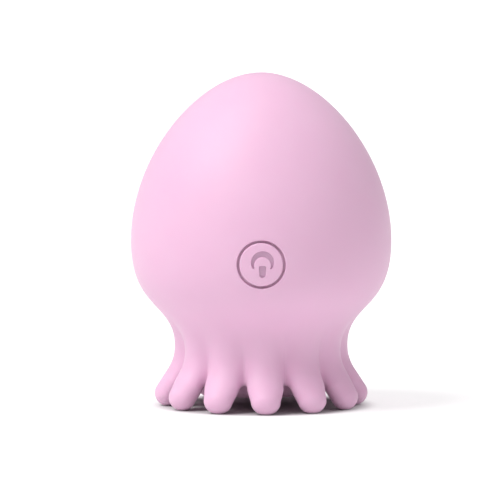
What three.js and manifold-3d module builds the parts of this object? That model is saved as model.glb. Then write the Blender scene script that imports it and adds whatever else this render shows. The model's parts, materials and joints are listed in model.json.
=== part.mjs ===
// A palm-size rechargeable massager shaped like an octopus. A soft silicone skin with twelve tentacles
// covers a two-part hard case, which holds a battery, a control board with one push switch, and a motor
// that spins an eccentric weight. Millimetres, +Z up. It stands on its tentacle tips at z = 0, the egg's
// axis is the Z axis, the button faces -Y and the charging contacts face +Y.

import * as THREE from "three";
import { mergeVertices } from "three/addons/utils/BufferGeometryUtils.js";
import Module from "manifold-3d";

const wasm = await Module();
wasm.setup();

// ---------- Driving dimensions ----------

// Egg-shaped body, measured on the skin between two tentacles
const HEIGHT = 77.8;
const EGG_RADIUS = 30.4;
const EQUATOR_Z = 38.6;
const CROWN_PULL = { radius: 14.2, z: 58.2 }; // how wide the top is, and how far up the sides stay full
const BELLY_PULL = { upperZ: 21, lowerZ: 24.4 }; // how the sides turn in towards the waist
const WAIST_RADIUS = 18.8;
const WAIST_Z = 11.0;
const RIM_RADIUS = 19.2;
const RIM_Z = 6.3; // lower edge of the webs between the tentacles

// Tentacles: short fingers round the rim, each on a hinge that stands for the bending silicone
const TENTACLES = 12;
const TENTACLE_PITCH = (2 * Math.PI) / TENTACLES;
const TENTACLE_PHASE = THREE.MathUtils.degToRad(2.8); // the first one stands just right of the button
const TENTACLE_HALF_DEPTH = 3.0; // in the radial plane
const TENTACLE_HALF_WIDTH = 3.9; // across the radial plane
const HINGE_RADIUS = 19.5;
const HINGE_Z = 6.6;
const TIP_RADIUS = 21.85; // centre of the round tip
const TIP_Z = 2.8; // a little under the tip's own radius, which leaves a small flat foot
const FLEX_OUT = THREE.MathUtils.degToRad(15); // how far a tentacle bends outwards
const RIDGE_TOP_Z = 21;
const RIDGE_HEIGHT = 4.2;
const RIDGE_CAP = 2.4; // the ridges stop growing where the tentacle roots take over

// Walls
const SKIN = 2.2;
const GAP = 0.3; // between the skin and the case, and round most loose pieces
const CASE_WALL = 1.6;
const PARTING = 0.35; // half the space between the case halves
const GASKET = 0.6;
const CASE_FLOOR_Z = 11.3;
const SPIGOT_RADIUS = 12.3; // round foot of the case, which fills the opening in the skin
const SPIGOT_Z = 9.2;
const COVER = { radius: 12.2, z: 2.6, flat: 9, edgeZ: 5.2 }; // soft foot under the spigot
const TOUCH = 0.05; // between flat faces that rest on each other

// Button stack, named from the outside in, as places along Y
const BUTTON_Z = 35.8;
const BUTTON_HOLE_RADIUS = 5.7;
const BUTTON_RADIUS = 5.1;
const BUTTON_FLANGE_RADIUS = 6.2;
const FLANGE_POCKET_RADIUS = 6.5;
const FLANGE_POCKET_Y = -27.85;
const FLANGE_FRONT_Y = -27.6;
const CAP_BACK_Y = -27.2;
const FLANGE_SEAT_Y = -26.6; // flat seat cut into the case, which the flange does not reach when pressed
const ICON_FLOOR_Y = -29.75;
const PLUNGER_HEAD_RADIUS = 4.1;
const PLUNGER_STEM_RADIUS = 2.05;
const PLUNGER_SHOULDER_Y = -26.3;
const PLUNGER_HOLE_RADIUS = 4.5;
const GUIDE_RADIUS = 6.2;
const GUIDE_FRONT_Y = -25.5;
const GUIDE_BACK_Y = -24.6;
const GUIDE_BORE_RADIUS = 2.35;
const STEM_TIP_Y = -24.3;
const STEM_RADIUS = 1.7;
const STEM_END_Y = -22.5;
const SWITCH_FRONT_Y = -23.1;
const SWITCH_WELL_Y = -22;
const SWITCH_SIDE = 6;

// Control board
const BOARD_FRONT_Y = -20.1;
const BOARD_BACK_Y = -18.9;
const BOARD_HALF_WIDTH = 10.5;
const BOARD_BOTTOM_Z = 29;
const BOARD_TOP_Z = 50;
const BOARD_HOLE_X = 8.3;
const BOARD_HOLE_Z = [31.2, 47.8];

// Screws: shell screws join the case halves, bracket screws hold the motor, board screws the board
const CASE_SCREW_PLACES = [
  { x: -20, z: 30 },
  { x: 20, z: 30 },
  { x: -17.5, z: 56 },
  { x: 17.5, z: 56 },
];
const CASE_SCREW = { seatY: 5, length: 11, shank: 0.95, head: 2, headHeight: 1.4 };
const BRACKET_SCREW = { length: 7.5, shank: 0.8, head: 1.8, headHeight: 1.2 };
const BOARD_SCREW = { length: 4, shank: 0.6, head: 1.5, headHeight: 0.9 };
const HOLE_PLAY = 0.25; // round a screw's shank
const BOSS_RADIUS = { front: 2.8, rear: 3.4, bracket: 2.6, board: 1.9 };

// Motor, standing on the Z axis with its shaft down
const MOTOR_Y = 1.5;
const CAN_RADIUS = 6;
const CAN_BOTTOM_Z = 19.5;
const CAN_TOP_Z = 36.3;
const SHAFT_RADIUS = 1;
const SHAFT_BORE = 1.1; // bore of the bearing and of the pieces pressed on the shaft
const BEARING_RADIUS = 1.75;
const MAGNET = { inner: 4.3, outer: 5.2, z: [22.3, 33] };
const ARMATURE = { radius: 3.8, z: [23, 32.4], slot: 1.4, slotFrom: 2 };
const WEIGHT = { radius: 5.2, hub: 2.2, z: 12.6, height: 5.4 };
const END_CAP_HEIGHT = 1.9;
const SLEEVE_RADIUS = 7;
const BRACKET_SCREW_X = 11.8;
const BRACKET_Z = [22.5, 32.5];
const BRACKET_MIDDLE_Z = (BRACKET_Z[0] + BRACKET_Z[1]) / 2;
const BRACKET_EAR_Y = [6, 8];

// Battery pouch, with a guard board on top and a foam pad between it and two ribs of the case
const BATTERY_HALF_WIDTH = 11;
const BATTERY_Y = [1, 9];
const BATTERY_Z = [40, 65];
const PAD_DEPTH = 1.1;
const RIB = { x: 7, halfWidth: 0.8, z: [45, 62] };

// Charging contacts in a shallow pocket at the back
const CONTACT_X = 5;
const CONTACT_Z = 39;
const CONTACT_RADIUS = 2.2;
const CONTACT_FACE_Y = 29.1;
const CONTACT_SHOULDER_Y = 27;
const CONTACT_END_Y = 21.2;
const CONTACT_TAIL_RADIUS = 1.2;
const CONTACT_MAGNET = { radius: 2.55, y: [22.3, 24.1] };
const POCKET_FLOOR_Y = 28.9;
const POCKET_HALF_LENGTH = 8;
const POCKET_HALF_HEIGHT = 3.6;

const ROUND = 14; // sides of a middle-size cylinder
const SMALL_ROUND = 8;
const CASE_ROUND = 24; // sides of the case, of the room for it in the skin and of the base cover
const FAR = 45; // past every face of the object

// ---------- Materials ----------

const finish = (color, roughness, metalness = 0) =>
  new THREE.MeshStandardMaterial({ color, roughness, metalness });
const pinkSilicone = finish(0xf3c6e0, 0.6);
const caseAbs = finish(0xf1eef0, 0.5);
const gasketSilicone = finish(0xd9d9dc, 0.7);
const boardLaminate = finish(0x1f6b3a, 0.5);
const blackResin = finish(0x1c1c1e, 0.45);
const switchMetal = finish(0xc9cbcd, 0.35, 1);
const ledLens = finish(0xf7f4e6, 0.2);
const connectorNylon = finish(0xf3efe2, 0.5);
const batteryFoil = finish(0xb9bcc0, 0.35, 1);
const foam = finish(0x34363a, 0.95);
const motorSteel = finish(0xb4b6b8, 0.3, 1);
const magnetFerrite = finish(0x3a3a3d, 0.6);
const brass = finish(0xc9a24b, 0.3, 1);
const tungsten = finish(0x7d7f83, 0.4, 1);
const copper = finish(0xb5683a, 0.4, 1);
const gold = finish(0xe2bd62, 0.25, 1);
const screwSteel = finish(0x9a9da1, 0.35, 1);
const redSheath = finish(0xc3262b, 0.55);
const blackSheath = finish(0x202124, 0.55);

// ---------- Making and joining solids ----------

const at = (x, y) => new THREE.Vector2(x, y);

function solidOf(geometry) {
  const bare = geometry.clone();
  bare.deleteAttribute("normal");
  bare.deleteAttribute("uv");
  const merged = mergeVertices(bare, 1e-3);
  return new wasm.Manifold(
    new wasm.Mesh({
      numProp: 3,
      vertProperties: new Float32Array(merged.attributes.position.array),
      triVerts: new Uint32Array(merged.index.array),
    }),
  );
}

function geometryOf(solid) {
  const mesh = solid.getMesh();
  const geometry = new THREE.BufferGeometry();
  geometry.setAttribute("position", new THREE.BufferAttribute(mesh.vertProperties, 3));
  geometry.setIndex(new THREE.BufferAttribute(mesh.triVerts, 1));
  geometry.computeVertexNormals();
  return geometry;
}

const join = (first, ...rest) => rest.reduce((sum, s) => sum.add(s), first);
const cut = (first, ...rest) => rest.reduce((left, s) => left.subtract(s), first);

// A profile of (radius, z) points turned round the Z axis; it runs from the bottom of the axis to the top
function turned(profile, segments = ROUND) {
  return new THREE.LatheGeometry(profile, segments).rotateX(Math.PI / 2);
}

function box(x, y, z) {
  return new THREE.BoxGeometry(x[1] - x[0], y[1] - y[0], z[1] - z[0]).translate(
    (x[0] + x[1]) / 2,
    (y[0] + y[1]) / 2,
    (z[0] + z[1]) / 2,
  );
}

function rodAlongZ(radius, [from, to], x = 0, y = 0, sides = ROUND) {
  return new THREE.CylinderGeometry(radius, radius, to - from, sides)
    .rotateX(Math.PI / 2)
    .translate(x, y, (from + to) / 2);
}

function rodAlongY(radius, [from, to], x = 0, z = 0, sides = ROUND) {
  return new THREE.CylinderGeometry(radius, radius, to - from, sides).translate(x, (from + to) / 2, z);
}

// A flat shape, drawn with x to the right and y up, made solid along Y between two places
function plateAlongY(shape, [from, to], curveSegments = 6) {
  return new THREE.ExtrudeGeometry(shape, { depth: to - from, bevelEnabled: false, curveSegments })
    .rotateX(Math.PI / 2)
    .translate(0, to, 0);
}

function roundedRectangle(halfWidth, halfHeight, radius) {
  const shape = new THREE.Shape();
  const x = halfWidth - radius;
  const y = halfHeight - radius;
  shape.absarc(x, y, radius, 0, Math.PI / 2);
  shape.absarc(-x, y, radius, Math.PI / 2, Math.PI);
  shape.absarc(-x, -y, radius, Math.PI, 1.5 * Math.PI);
  shape.absarc(x, -y, radius, 1.5 * Math.PI, 2 * Math.PI);
  return shape;
}

const massager = new THREE.Group();

function piece(name, geometry, material, parent = massager) {
  const mesh = new THREE.Mesh(geometry, material);
  mesh.name = name;
  parent.add(mesh);
  return mesh;
}

const pieceOf = (name, solid, material) => piece(name, geometryOf(solid), material);

// ---------- Outlines of the egg, as (radius, z) from the waist up to the top ----------

const crown = new THREE.CubicBezierCurve(
  at(0, HEIGHT),
  at(CROWN_PULL.radius, HEIGHT),
  at(EGG_RADIUS, CROWN_PULL.z),
  at(EGG_RADIUS, EQUATOR_Z),
);
const belly = new THREE.CubicBezierCurve(
  at(EGG_RADIUS, EQUATOR_Z),
  at(EGG_RADIUS, BELLY_PULL.upperZ),
  at(WAIST_RADIUS, BELLY_PULL.lowerZ),
  at(WAIST_RADIUS, WAIST_Z),
);

// The egg's outline moved inwards by a distance, square to the surface
function eggOutline(inset, crownSteps = 6, bellySteps = 6) {
  const points = [];
  const sample = (curve, t) => {
    const p = curve.getPoint(t);
    const along = curve.getTangent(t);
    points.push(at(p.x + inset * along.y, p.y - inset * along.x));
  };
  for (let i = 0; i < crownSteps; i += 1) sample(crown, i / crownSteps);
  for (let i = 0; i <= bellySteps; i += 1) sample(belly, i / bellySteps);
  points[0].x = 0;
  return points.reverse();
}

// The case's outline: the egg down to a flat floor, then a round spigot. lift raises both floors
// and narrows the spigot, so that one function gives the outside, the inside and the gasket.
function caseOutline(inset, lift) {
  const egg = eggOutline(inset).filter((p) => p.y > CASE_FLOOR_Z + lift + 0.2);
  return [
    at(0, SPIGOT_Z + lift),
    at(SPIGOT_RADIUS - lift, SPIGOT_Z + lift),
    at(SPIGOT_RADIUS - lift, CASE_FLOOR_Z + lift),
    at(egg[0].x, CASE_FLOOR_Z + lift),
    ...egg,
  ];
}

const caseOutside = solidOf(turned(caseOutline(SKIN + GAP, 0), CASE_ROUND));
const caseInside = solidOf(turned(caseOutline(SKIN + GAP + CASE_WALL, CASE_WALL), CASE_ROUND));
const skinCavity = solidOf(turned(caseOutline(SKIN, -GAP), CASE_ROUND));

// ---------- Tentacles ----------

// One tentacle in the plane that faces -Y: a capsule from its hinge down and out to its tip
function tentacleCapsule(grow, flex) {
  const length = Math.hypot(TIP_RADIUS - HINGE_RADIUS, HINGE_Z - TIP_Z);
  const splay = Math.atan2(TIP_RADIUS - HINGE_RADIUS, HINGE_Z - TIP_Z);
  const depth = TENTACLE_HALF_DEPTH + grow;
  return new THREE.CapsuleGeometry(depth, length, 3, 10)
    .rotateX(Math.PI / 2)
    .scale((TENTACLE_HALF_WIDTH + grow) / depth, 1, 1)
    .translate(0, 0, -length / 2)
    .rotateX(-splay - flex)
    .translate(0, -HINGE_RADIUS, HINGE_Z);
}

const tentacleAzimuth = (i) => TENTACLE_PHASE + i * TENTACLE_PITCH;
const floorBlock = solidOf(box([-FAR, FAR], [-FAR, FAR], [-FAR, 0]));
const tentacleGeometry = geometryOf(cut(solidOf(tentacleCapsule(0, 0)), floorBlock));

for (let i = 0; i < TENTACLES; i += 1) {
  const place = new THREE.Group();
  place.rotation.z = tentacleAzimuth(i);
  massager.add(place);
  piece(`tentacle_${String(i + 1).padStart(2, "0")}`, tentacleGeometry, pinkSilicone, place);
}

// ---------- Silicone skin ----------

// How far the tentacles' ridges stand out of the waist, growing from nothing towards the rim
function ridgeHeight(z) {
  const share = Math.max(0, (RIDGE_TOP_Z - z) / (RIDGE_TOP_Z - RIM_Z));
  return Math.min(RIDGE_CAP, RIDGE_HEIGHT * share ** 1.7);
}

function skinOutside() {
  const profile = [
    at(0, RIM_Z),
    at(RIM_RADIUS, RIM_Z),
    at(RIM_RADIUS - 0.2, RIM_Z + 1.7),
    ...eggOutline(0, 9, 9),
  ];
  const geometry = turned(profile, 4 * TENTACLES);
  const place = geometry.attributes.position;
  for (let i = 0; i < place.count; i += 1) {
    const radius = Math.hypot(place.getX(i), place.getY(i));
    if (radius < 1) continue;
    const azimuth = Math.atan2(place.getX(i), -place.getY(i));
    const crest = ((1 + Math.cos(TENTACLES * azimuth)) / 2) ** 0.7;
    const wider = 1 + (ridgeHeight(place.getZ(i)) * crest) / radius;
    place.setX(i, place.getX(i) * wider);
    place.setY(i, place.getY(i) * wider);
  }
  return solidOf(geometry.rotateZ(TENTACLE_PHASE));
}

const skinBlank = skinOutside();

// The room a tentacle needs in the skin. Its round root turns in place, so the pose bent outwards
// covers all the others above the rim.
const tentacleSockets = Array.from({ length: TENTACLES }, (_, i) =>
  solidOf(tentacleCapsule(GAP + 0.2, FLEX_OUT).rotateZ(tentacleAzimuth(i))),
);

const buttonHole = (radius, y) => solidOf(rodAlongY(radius, y, 0, BUTTON_Z, 24));
const chargePocket = solidOf(
  plateAlongY(roundedRectangle(POCKET_HALF_LENGTH, POCKET_HALF_HEIGHT, POCKET_HALF_HEIGHT - 0.05), [
    POCKET_FLOOR_Y,
    FAR,
  ]).translate(0, 0, CONTACT_Z),
);
const contactHoles = (radius, y) =>
  [-CONTACT_X, CONTACT_X].map((x) => solidOf(rodAlongY(radius, y, x, CONTACT_Z)));

const skin = cut(
  skinBlank,
  skinCavity,
  solidOf(rodAlongZ(SPIGOT_RADIUS + GAP, [0, CASE_FLOOR_Z], 0, 0, CASE_ROUND)),
  buttonHole(BUTTON_HOLE_RADIUS, [-FAR, -20]),
  buttonHole(FLANGE_POCKET_RADIUS, [FLANGE_POCKET_Y, -20]),
  chargePocket,
  ...contactHoles(CONTACT_RADIUS + 0.2, [20, FAR]),
  ...tentacleSockets,
);
pieceOf("skin_mantle", skin, pinkSilicone);

// Soft foot glued under the spigot, inside the ring of tentacles and clear of the table
piece(
  "base_cover",
  turned(
    [
      at(0, COVER.z),
      at(COVER.flat, COVER.z),
      at(COVER.radius - 0.9, COVER.z + 0.8),
      at(COVER.radius, COVER.edgeZ),
      at(COVER.radius, SPIGOT_Z - TOUCH),
      at(0, SPIGOT_Z - TOUCH),
    ],
    CASE_ROUND,
  ),
  pinkSilicone,
);

// ---------- Button ----------

// Power sign, drawn round the button's centre: a crescent that opens downwards and a tapered bar
function crescentShape() {
  const outer = { radius: 2.65, up: 0.45 };
  const inner = { radius: 1.95, up: -0.25 };
  const endHeight = -1.18;
  const outerEnd = Math.asin((endHeight - outer.up) / outer.radius);
  const innerEnd = Math.asin((endHeight - inner.up) / inner.radius);
  const shape = new THREE.Shape();
  shape.absarc(0, outer.up, outer.radius, outerEnd, Math.PI - outerEnd);
  shape.absarc(0, inner.up, inner.radius, Math.PI - innerEnd, innerEnd, true);
  return shape;
}

function barShape() {
  const topHalf = 0.8;
  const endHalf = 0.6;
  const shape = new THREE.Shape();
  shape.moveTo(-topHalf, -0.44);
  shape.lineTo(-endHalf, -2.6);
  shape.absarc(0, -2.6, endHalf, Math.PI, 2 * Math.PI);
  shape.lineTo(topHalf, -0.44);
  return shape;
}

const iconCut = (shape) =>
  solidOf(plateAlongY(shape, [-FAR, ICON_FLOOR_Y], 5).translate(0, 0, BUTTON_Z));
const capBody = buttonHole(BUTTON_RADIUS, [-FAR, CAP_BACK_Y]).intersect(skinBlank);
pieceOf(
  "button_cap",
  cut(
    join(capBody, buttonHole(BUTTON_FLANGE_RADIUS, [FLANGE_FRONT_Y, CAP_BACK_Y])),
    iconCut(crescentShape()),
    iconCut(barShape()),
  ),
  pinkSilicone,
);

pieceOf(
  "button_plunger",
  join(
    solidOf(rodAlongY(PLUNGER_HEAD_RADIUS, [CAP_BACK_Y + TOUCH, PLUNGER_SHOULDER_Y], 0, BUTTON_Z)),
    solidOf(
      rodAlongY(PLUNGER_STEM_RADIUS, [PLUNGER_SHOULDER_Y - 0.5, STEM_TIP_Y - TOUCH], 0, BUTTON_Z),
    ),
  ),
  caseAbs,
);

// ---------- Case halves and gasket ----------

const halfSpace = {
  front: solidOf(box([-FAR, FAR], [-FAR, -PARTING], [-FAR, 2 * FAR])),
  rear: solidOf(box([-FAR, FAR], [PARTING, FAR], [-FAR, 2 * FAR])),
};
const inCase = (geometry) => solidOf(geometry).intersect(caseOutside);
const caseWall = cut(caseOutside, caseInside);

function frontShell() {
  const wall = caseWall.intersect(halfSpace.front);
  const pilotEnd = CASE_SCREW.seatY - CASE_SCREW.length - 1.5;
  const screwBosses = CASE_SCREW_PLACES.map(({ x, z }) =>
    inCase(rodAlongY(BOSS_RADIUS.front, [-FAR, -PARTING], x, z, SMALL_ROUND)),
  );
  const screwPilots = CASE_SCREW_PLACES.map(({ x, z }) =>
    solidOf(rodAlongY(CASE_SCREW.shank + HOLE_PLAY, [pilotEnd, 1], x, z, SMALL_ROUND)),
  );
  const boardPlaces = BOARD_HOLE_Z.flatMap((z) => [-BOARD_HOLE_X, BOARD_HOLE_X].map((x) => ({ x, z })));
  const boardPosts = boardPlaces.map(({ x, z }) =>
    inCase(rodAlongY(BOSS_RADIUS.board, [-FAR, BOARD_FRONT_Y - TOUCH], x, z, SMALL_ROUND)),
  );
  const boardPilots = boardPlaces.map(({ x, z }) =>
    solidOf(rodAlongY(BOARD_SCREW.shank + HOLE_PLAY, [BOARD_FRONT_Y - 3.1, 0], x, z, SMALL_ROUND)),
  );
  const guide = inCase(rodAlongY(GUIDE_RADIUS, [-FAR, GUIDE_BACK_Y], 0, BUTTON_Z));
  return cut(
    join(wall, guide, ...screwBosses, ...boardPosts),
    ...screwPilots,
    ...boardPilots,
    buttonHole(FLANGE_POCKET_RADIUS, [-FAR, FLANGE_SEAT_Y]),
    solidOf(rodAlongY(PLUNGER_HOLE_RADIUS, [-FAR, GUIDE_FRONT_Y], 0, BUTTON_Z)),
    solidOf(rodAlongY(GUIDE_BORE_RADIUS, [-FAR, -20], 0, BUTTON_Z)),
  );
}

function rearShell() {
  const wall = caseWall.intersect(halfSpace.rear);
  const screwBosses = CASE_SCREW_PLACES.map(({ x, z }) =>
    inCase(rodAlongY(BOSS_RADIUS.rear, [PARTING, FAR], x, z, SMALL_ROUND)),
  );
  const screwHoles = CASE_SCREW_PLACES.flatMap(({ x, z }) => [
    solidOf(rodAlongY(CASE_SCREW.shank + HOLE_PLAY, [-1, FAR], x, z, SMALL_ROUND)),
    solidOf(rodAlongY(CASE_SCREW.head + 0.35, [CASE_SCREW.seatY, FAR], x, z, SMALL_ROUND)),
  ]);
  const bracketBosses = [-BRACKET_SCREW_X, BRACKET_SCREW_X].map((x) =>
    inCase(rodAlongY(BOSS_RADIUS.bracket, [BRACKET_EAR_Y[1] + TOUCH, FAR], x, BRACKET_MIDDLE_Z)),
  );
  const bracketPilots = [-BRACKET_SCREW_X, BRACKET_SCREW_X].map((x) =>
    solidOf(rodAlongY(BRACKET_SCREW.shank + HOLE_PLAY, [0, 15], x, BRACKET_MIDDLE_Z, SMALL_ROUND)),
  );
  const ribStart = BATTERY_Y[1] + PAD_DEPTH + TOUCH;
  const batteryRibs = [-RIB.x, RIB.x].map((x) =>
    inCase(box([x - RIB.halfWidth, x + RIB.halfWidth], [ribStart, FAR], RIB.z)),
  );
  return cut(
    join(wall, ...screwBosses, ...bracketBosses, ...batteryRibs),
    ...screwHoles,
    ...bracketPilots,
    ...contactHoles(CONTACT_RADIUS + 0.2, [CONTACT_SHOULDER_Y - 0.2, FAR]),
    ...contactHoles(CONTACT_TAIL_RADIUS + 0.2, [20, FAR]),
  );
}

pieceOf("front_shell", frontShell(), caseAbs);
pieceOf("rear_shell", rearShell(), caseAbs);

// A closed loop through an outline on the right of the axis and its mirror image on the left
function mirroredLoop(outline) {
  const right = outline.slice(1, -1);
  const left = right.map((p) => at(-p.x, p.y)).reverse();
  return [...right, outline.at(-1), ...left];
}

const gasketShape = new THREE.Shape(mirroredLoop(caseOutline(SKIN + GAP + 0.15, 0.15)));
gasketShape.holes.push(
  new THREE.Path(mirroredLoop(caseOutline(SKIN + GAP + CASE_WALL - 0.15, CASE_WALL - 0.15))),
);
piece("case_gasket", plateAlongY(gasketShape, [-GASKET / 2, GASKET / 2]), gasketSilicone);

// ---------- Screws ----------

// A pan-head screw along Y with a cross recess in the head. It is made with its seat at the origin and
// its head towards +Y, then moved to its place; a backward one has its head towards -Y.
function screw({ x, y, z }, size, backward = false) {
  const arm = 0.6 * size.head;
  const slot = 0.15 * size.head;
  const solid = cut(
    join(
      solidOf(rodAlongY(size.head, [TOUCH, size.headHeight], 0, 0, SMALL_ROUND)),
      solidOf(rodAlongY(size.shank, [-size.length, size.headHeight / 4], 0, 0, 8)),
    ),
    solidOf(box([-slot, slot], [size.headHeight / 2, FAR], [-arm, arm])),
    solidOf(box([-arm, arm], [size.headHeight / 2, FAR], [-slot, slot])),
  );
  return geometryOf(solid)
    .rotateZ(backward ? Math.PI : 0)
    .translate(x, y, z);
}

CASE_SCREW_PLACES.forEach(({ x, z }, i) => {
  piece(`case_screw_${i + 1}`, screw({ x, y: CASE_SCREW.seatY, z }, CASE_SCREW), screwSteel);
});

[-BRACKET_SCREW_X, BRACKET_SCREW_X].forEach((x, i) => {
  const place = { x, y: BRACKET_EAR_Y[0], z: BRACKET_MIDDLE_Z };
  piece(`bracket_screw_${i + 1}`, screw(place, BRACKET_SCREW, true), screwSteel);
});

[
  { x: -BOARD_HOLE_X, z: BOARD_HOLE_Z[1] },
  { x: BOARD_HOLE_X, z: BOARD_HOLE_Z[0] },
].forEach(({ x, z }, i) => {
  piece(`board_screw_${i + 1}`, screw({ x, y: BOARD_BACK_Y, z }, BOARD_SCREW), screwSteel);
});

// ---------- Control board and what is on it ----------

const boardHoles = BOARD_HOLE_Z.flatMap((z) =>
  [-BOARD_HOLE_X, BOARD_HOLE_X].map((x) =>
    solidOf(rodAlongY(BOARD_SCREW.shank + HOLE_PLAY, [-FAR, 0], x, z, SMALL_ROUND)),
  ),
);
const boardShape = roundedRectangle(BOARD_HALF_WIDTH, (BOARD_TOP_Z - BOARD_BOTTOM_Z) / 2, 1.5);
pieceOf(
  "circuit_board",
  cut(
    solidOf(
      plateAlongY(boardShape, [BOARD_FRONT_Y, BOARD_BACK_Y], 3).translate(
        0,
        0,
        (BOARD_TOP_Z + BOARD_BOTTOM_Z) / 2,
      ),
    ),
    ...boardHoles,
  ),
  boardLaminate,
);

pieceOf(
  "switch_body",
  cut(
    solidOf(
      box(
        [-SWITCH_SIDE / 2, SWITCH_SIDE / 2],
        [SWITCH_FRONT_Y, BOARD_FRONT_Y - TOUCH],
        [BUTTON_Z - SWITCH_SIDE / 2, BUTTON_Z + SWITCH_SIDE / 2],
      ),
    ),
    solidOf(rodAlongY(STEM_RADIUS + 0.25, [-FAR, SWITCH_WELL_Y], 0, BUTTON_Z)),
  ),
  switchMetal,
);
piece(
  "switch_stem",
  rodAlongY(STEM_RADIUS, [STEM_TIP_Y, STEM_END_Y], 0, BUTTON_Z, SMALL_ROUND),
  blackResin,
);

const onBoardBack = (x, z, height) => box(x, [BOARD_BACK_Y + TOUCH, BOARD_BACK_Y + height], z);
piece("status_led", box([-1, 1], [BOARD_FRONT_Y - 1, BOARD_FRONT_Y - TOUCH], [44.6, 45.8]), ledLens);
piece("control_chip", onBoardBack([-7, -2], [36, 41], 1.5), blackResin);
piece("charge_chip", onBoardBack([3, 6], [42, 45], 1), blackResin);

// A two-way socket with its mouth open to the back
function socket(z) {
  const body = solidOf(onBoardBack([-2.5, 2.5], z, 3));
  const mouth = box([-1.8, 1.8], [BOARD_BACK_Y + 2, BOARD_BACK_Y + 4], [z[0] + 0.6, z[1] - 0.6]);
  return cut(body, solidOf(mouth));
}
pieceOf("battery_connector", socket([46.5, 49.3]), connectorNylon);
pieceOf("motor_connector", socket([30.6, 33.4]), connectorNylon);

// ---------- Battery ----------

const batteryShape = roundedRectangle(BATTERY_HALF_WIDTH, (BATTERY_Y[1] - BATTERY_Y[0]) / 2, 2);
const batteryLength = { depth: BATTERY_Z[1] - BATTERY_Z[0], bevelEnabled: false, curveSegments: 3 };
piece(
  "battery_cell",
  new THREE.ExtrudeGeometry(batteryShape, batteryLength).translate(
    0,
    (BATTERY_Y[0] + BATTERY_Y[1]) / 2,
    BATTERY_Z[0],
  ),
  batteryFoil,
);
const guardZ = [BATTERY_Z[1] + GAP, BATTERY_Z[1] + 3.3];
piece("battery_guard_board", box([-8, 8], [4.5, 5.5], guardZ), boardLaminate);
piece("battery_pad", box([-9, 9], [BATTERY_Y[1] + TOUCH, BATTERY_Y[1] + PAD_DEPTH], RIB.z), foam);

// ---------- Motor ----------

const onMotorAxis = (geometry) => geometry.translate(0, MOTOR_Y, 0);
const ring = (inner, outer, z, sides = ROUND) => {
  const profile = [at(inner, z[0]), at(outer, z[0]), at(outer, z[1]), at(inner, z[1]), at(inner, z[0])];
  return onMotorAxis(turned(profile, sides));
};

piece(
  "motor_can",
  onMotorAxis(
    turned([
      at(BEARING_RADIUS + 0.2, CAN_BOTTOM_Z),
      at(CAN_RADIUS, CAN_BOTTOM_Z),
      at(CAN_RADIUS, CAN_TOP_Z),
      at(CAN_RADIUS - 0.6, CAN_TOP_Z),
      at(CAN_RADIUS - 0.6, CAN_BOTTOM_Z + 0.7),
      at(BEARING_RADIUS + 0.2, CAN_BOTTOM_Z + 0.7),
      at(BEARING_RADIUS + 0.2, CAN_BOTTOM_Z),
    ]),
  ),
  motorSteel,
);
piece("motor_bearing", ring(SHAFT_BORE, BEARING_RADIUS, [CAN_BOTTOM_Z - 0.3, CAN_BOTTOM_Z + 2]), brass);
piece("motor_magnet", ring(MAGNET.inner, MAGNET.outer, MAGNET.z), magnetFerrite);
piece(
  "motor_end_cap",
  onMotorAxis(
    turned([
      at(0, CAN_TOP_Z + END_CAP_HEIGHT),
      at(0, CAN_TOP_Z + 1.2),
      at(SHAFT_BORE, CAN_TOP_Z + 1.2),
      at(SHAFT_BORE, CAN_TOP_Z - 1.6),
      at(5.1, CAN_TOP_Z - 1.6),
      at(5.1, CAN_TOP_Z + TOUCH),
      at(CAN_RADIUS, CAN_TOP_Z + TOUCH),
      at(CAN_RADIUS, CAN_TOP_Z + END_CAP_HEIGHT),
      at(0, CAN_TOP_Z + END_CAP_HEIGHT),
    ]),
  ),
  connectorNylon,
);
piece(
  "motor_shaft",
  onMotorAxis(rodAlongZ(SHAFT_RADIUS, [WEIGHT.z - 0.7, CAN_TOP_Z + 0.9], 0, 0, SMALL_ROUND)),
  screwSteel,
);

// Three-pole iron core of the rotor
const slotAcross = [-ARMATURE.slot / 2, ARMATURE.slot / 2];
const slotOutwards = [ARMATURE.slotFrom, 2 * ARMATURE.radius];
const coreSlots = [0, 1, 2].map((i) =>
  solidOf(onMotorAxis(box(slotAcross, slotOutwards, [0, FAR]).rotateZ((i * 2 * Math.PI) / 3))),
);
const coreBlank = solidOf(ring(SHAFT_BORE, ARMATURE.radius, ARMATURE.z));
pieceOf("motor_armature", cut(coreBlank, ...coreSlots), copper);

// Half-disc weight on a round hub; its heavy side points to -Y at rest
const weightShape = new THREE.Shape();
weightShape.absarc(0, 0, WEIGHT.radius, Math.PI, 2 * Math.PI);
weightShape.absarc(0, 0, WEIGHT.hub, 0, Math.PI);
const weightBore = new THREE.Path();
weightBore.absarc(0, 0, SHAFT_BORE, 0, 2 * Math.PI);
weightShape.holes.push(weightBore);
const weightExtrusion = { depth: WEIGHT.height, bevelEnabled: false, curveSegments: 8 };
const weightGeometry = new THREE.ExtrudeGeometry(weightShape, weightExtrusion).translate(0, 0, WEIGHT.z);
piece("eccentric_weight", onMotorAxis(weightGeometry), tungsten);
piece(
  "motor_sleeve",
  ring(CAN_RADIUS + 0.15, SLEEVE_RADIUS, [BRACKET_Z[0] - 1, BRACKET_Z[1] + 1]),
  gasketSilicone,
);

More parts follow.
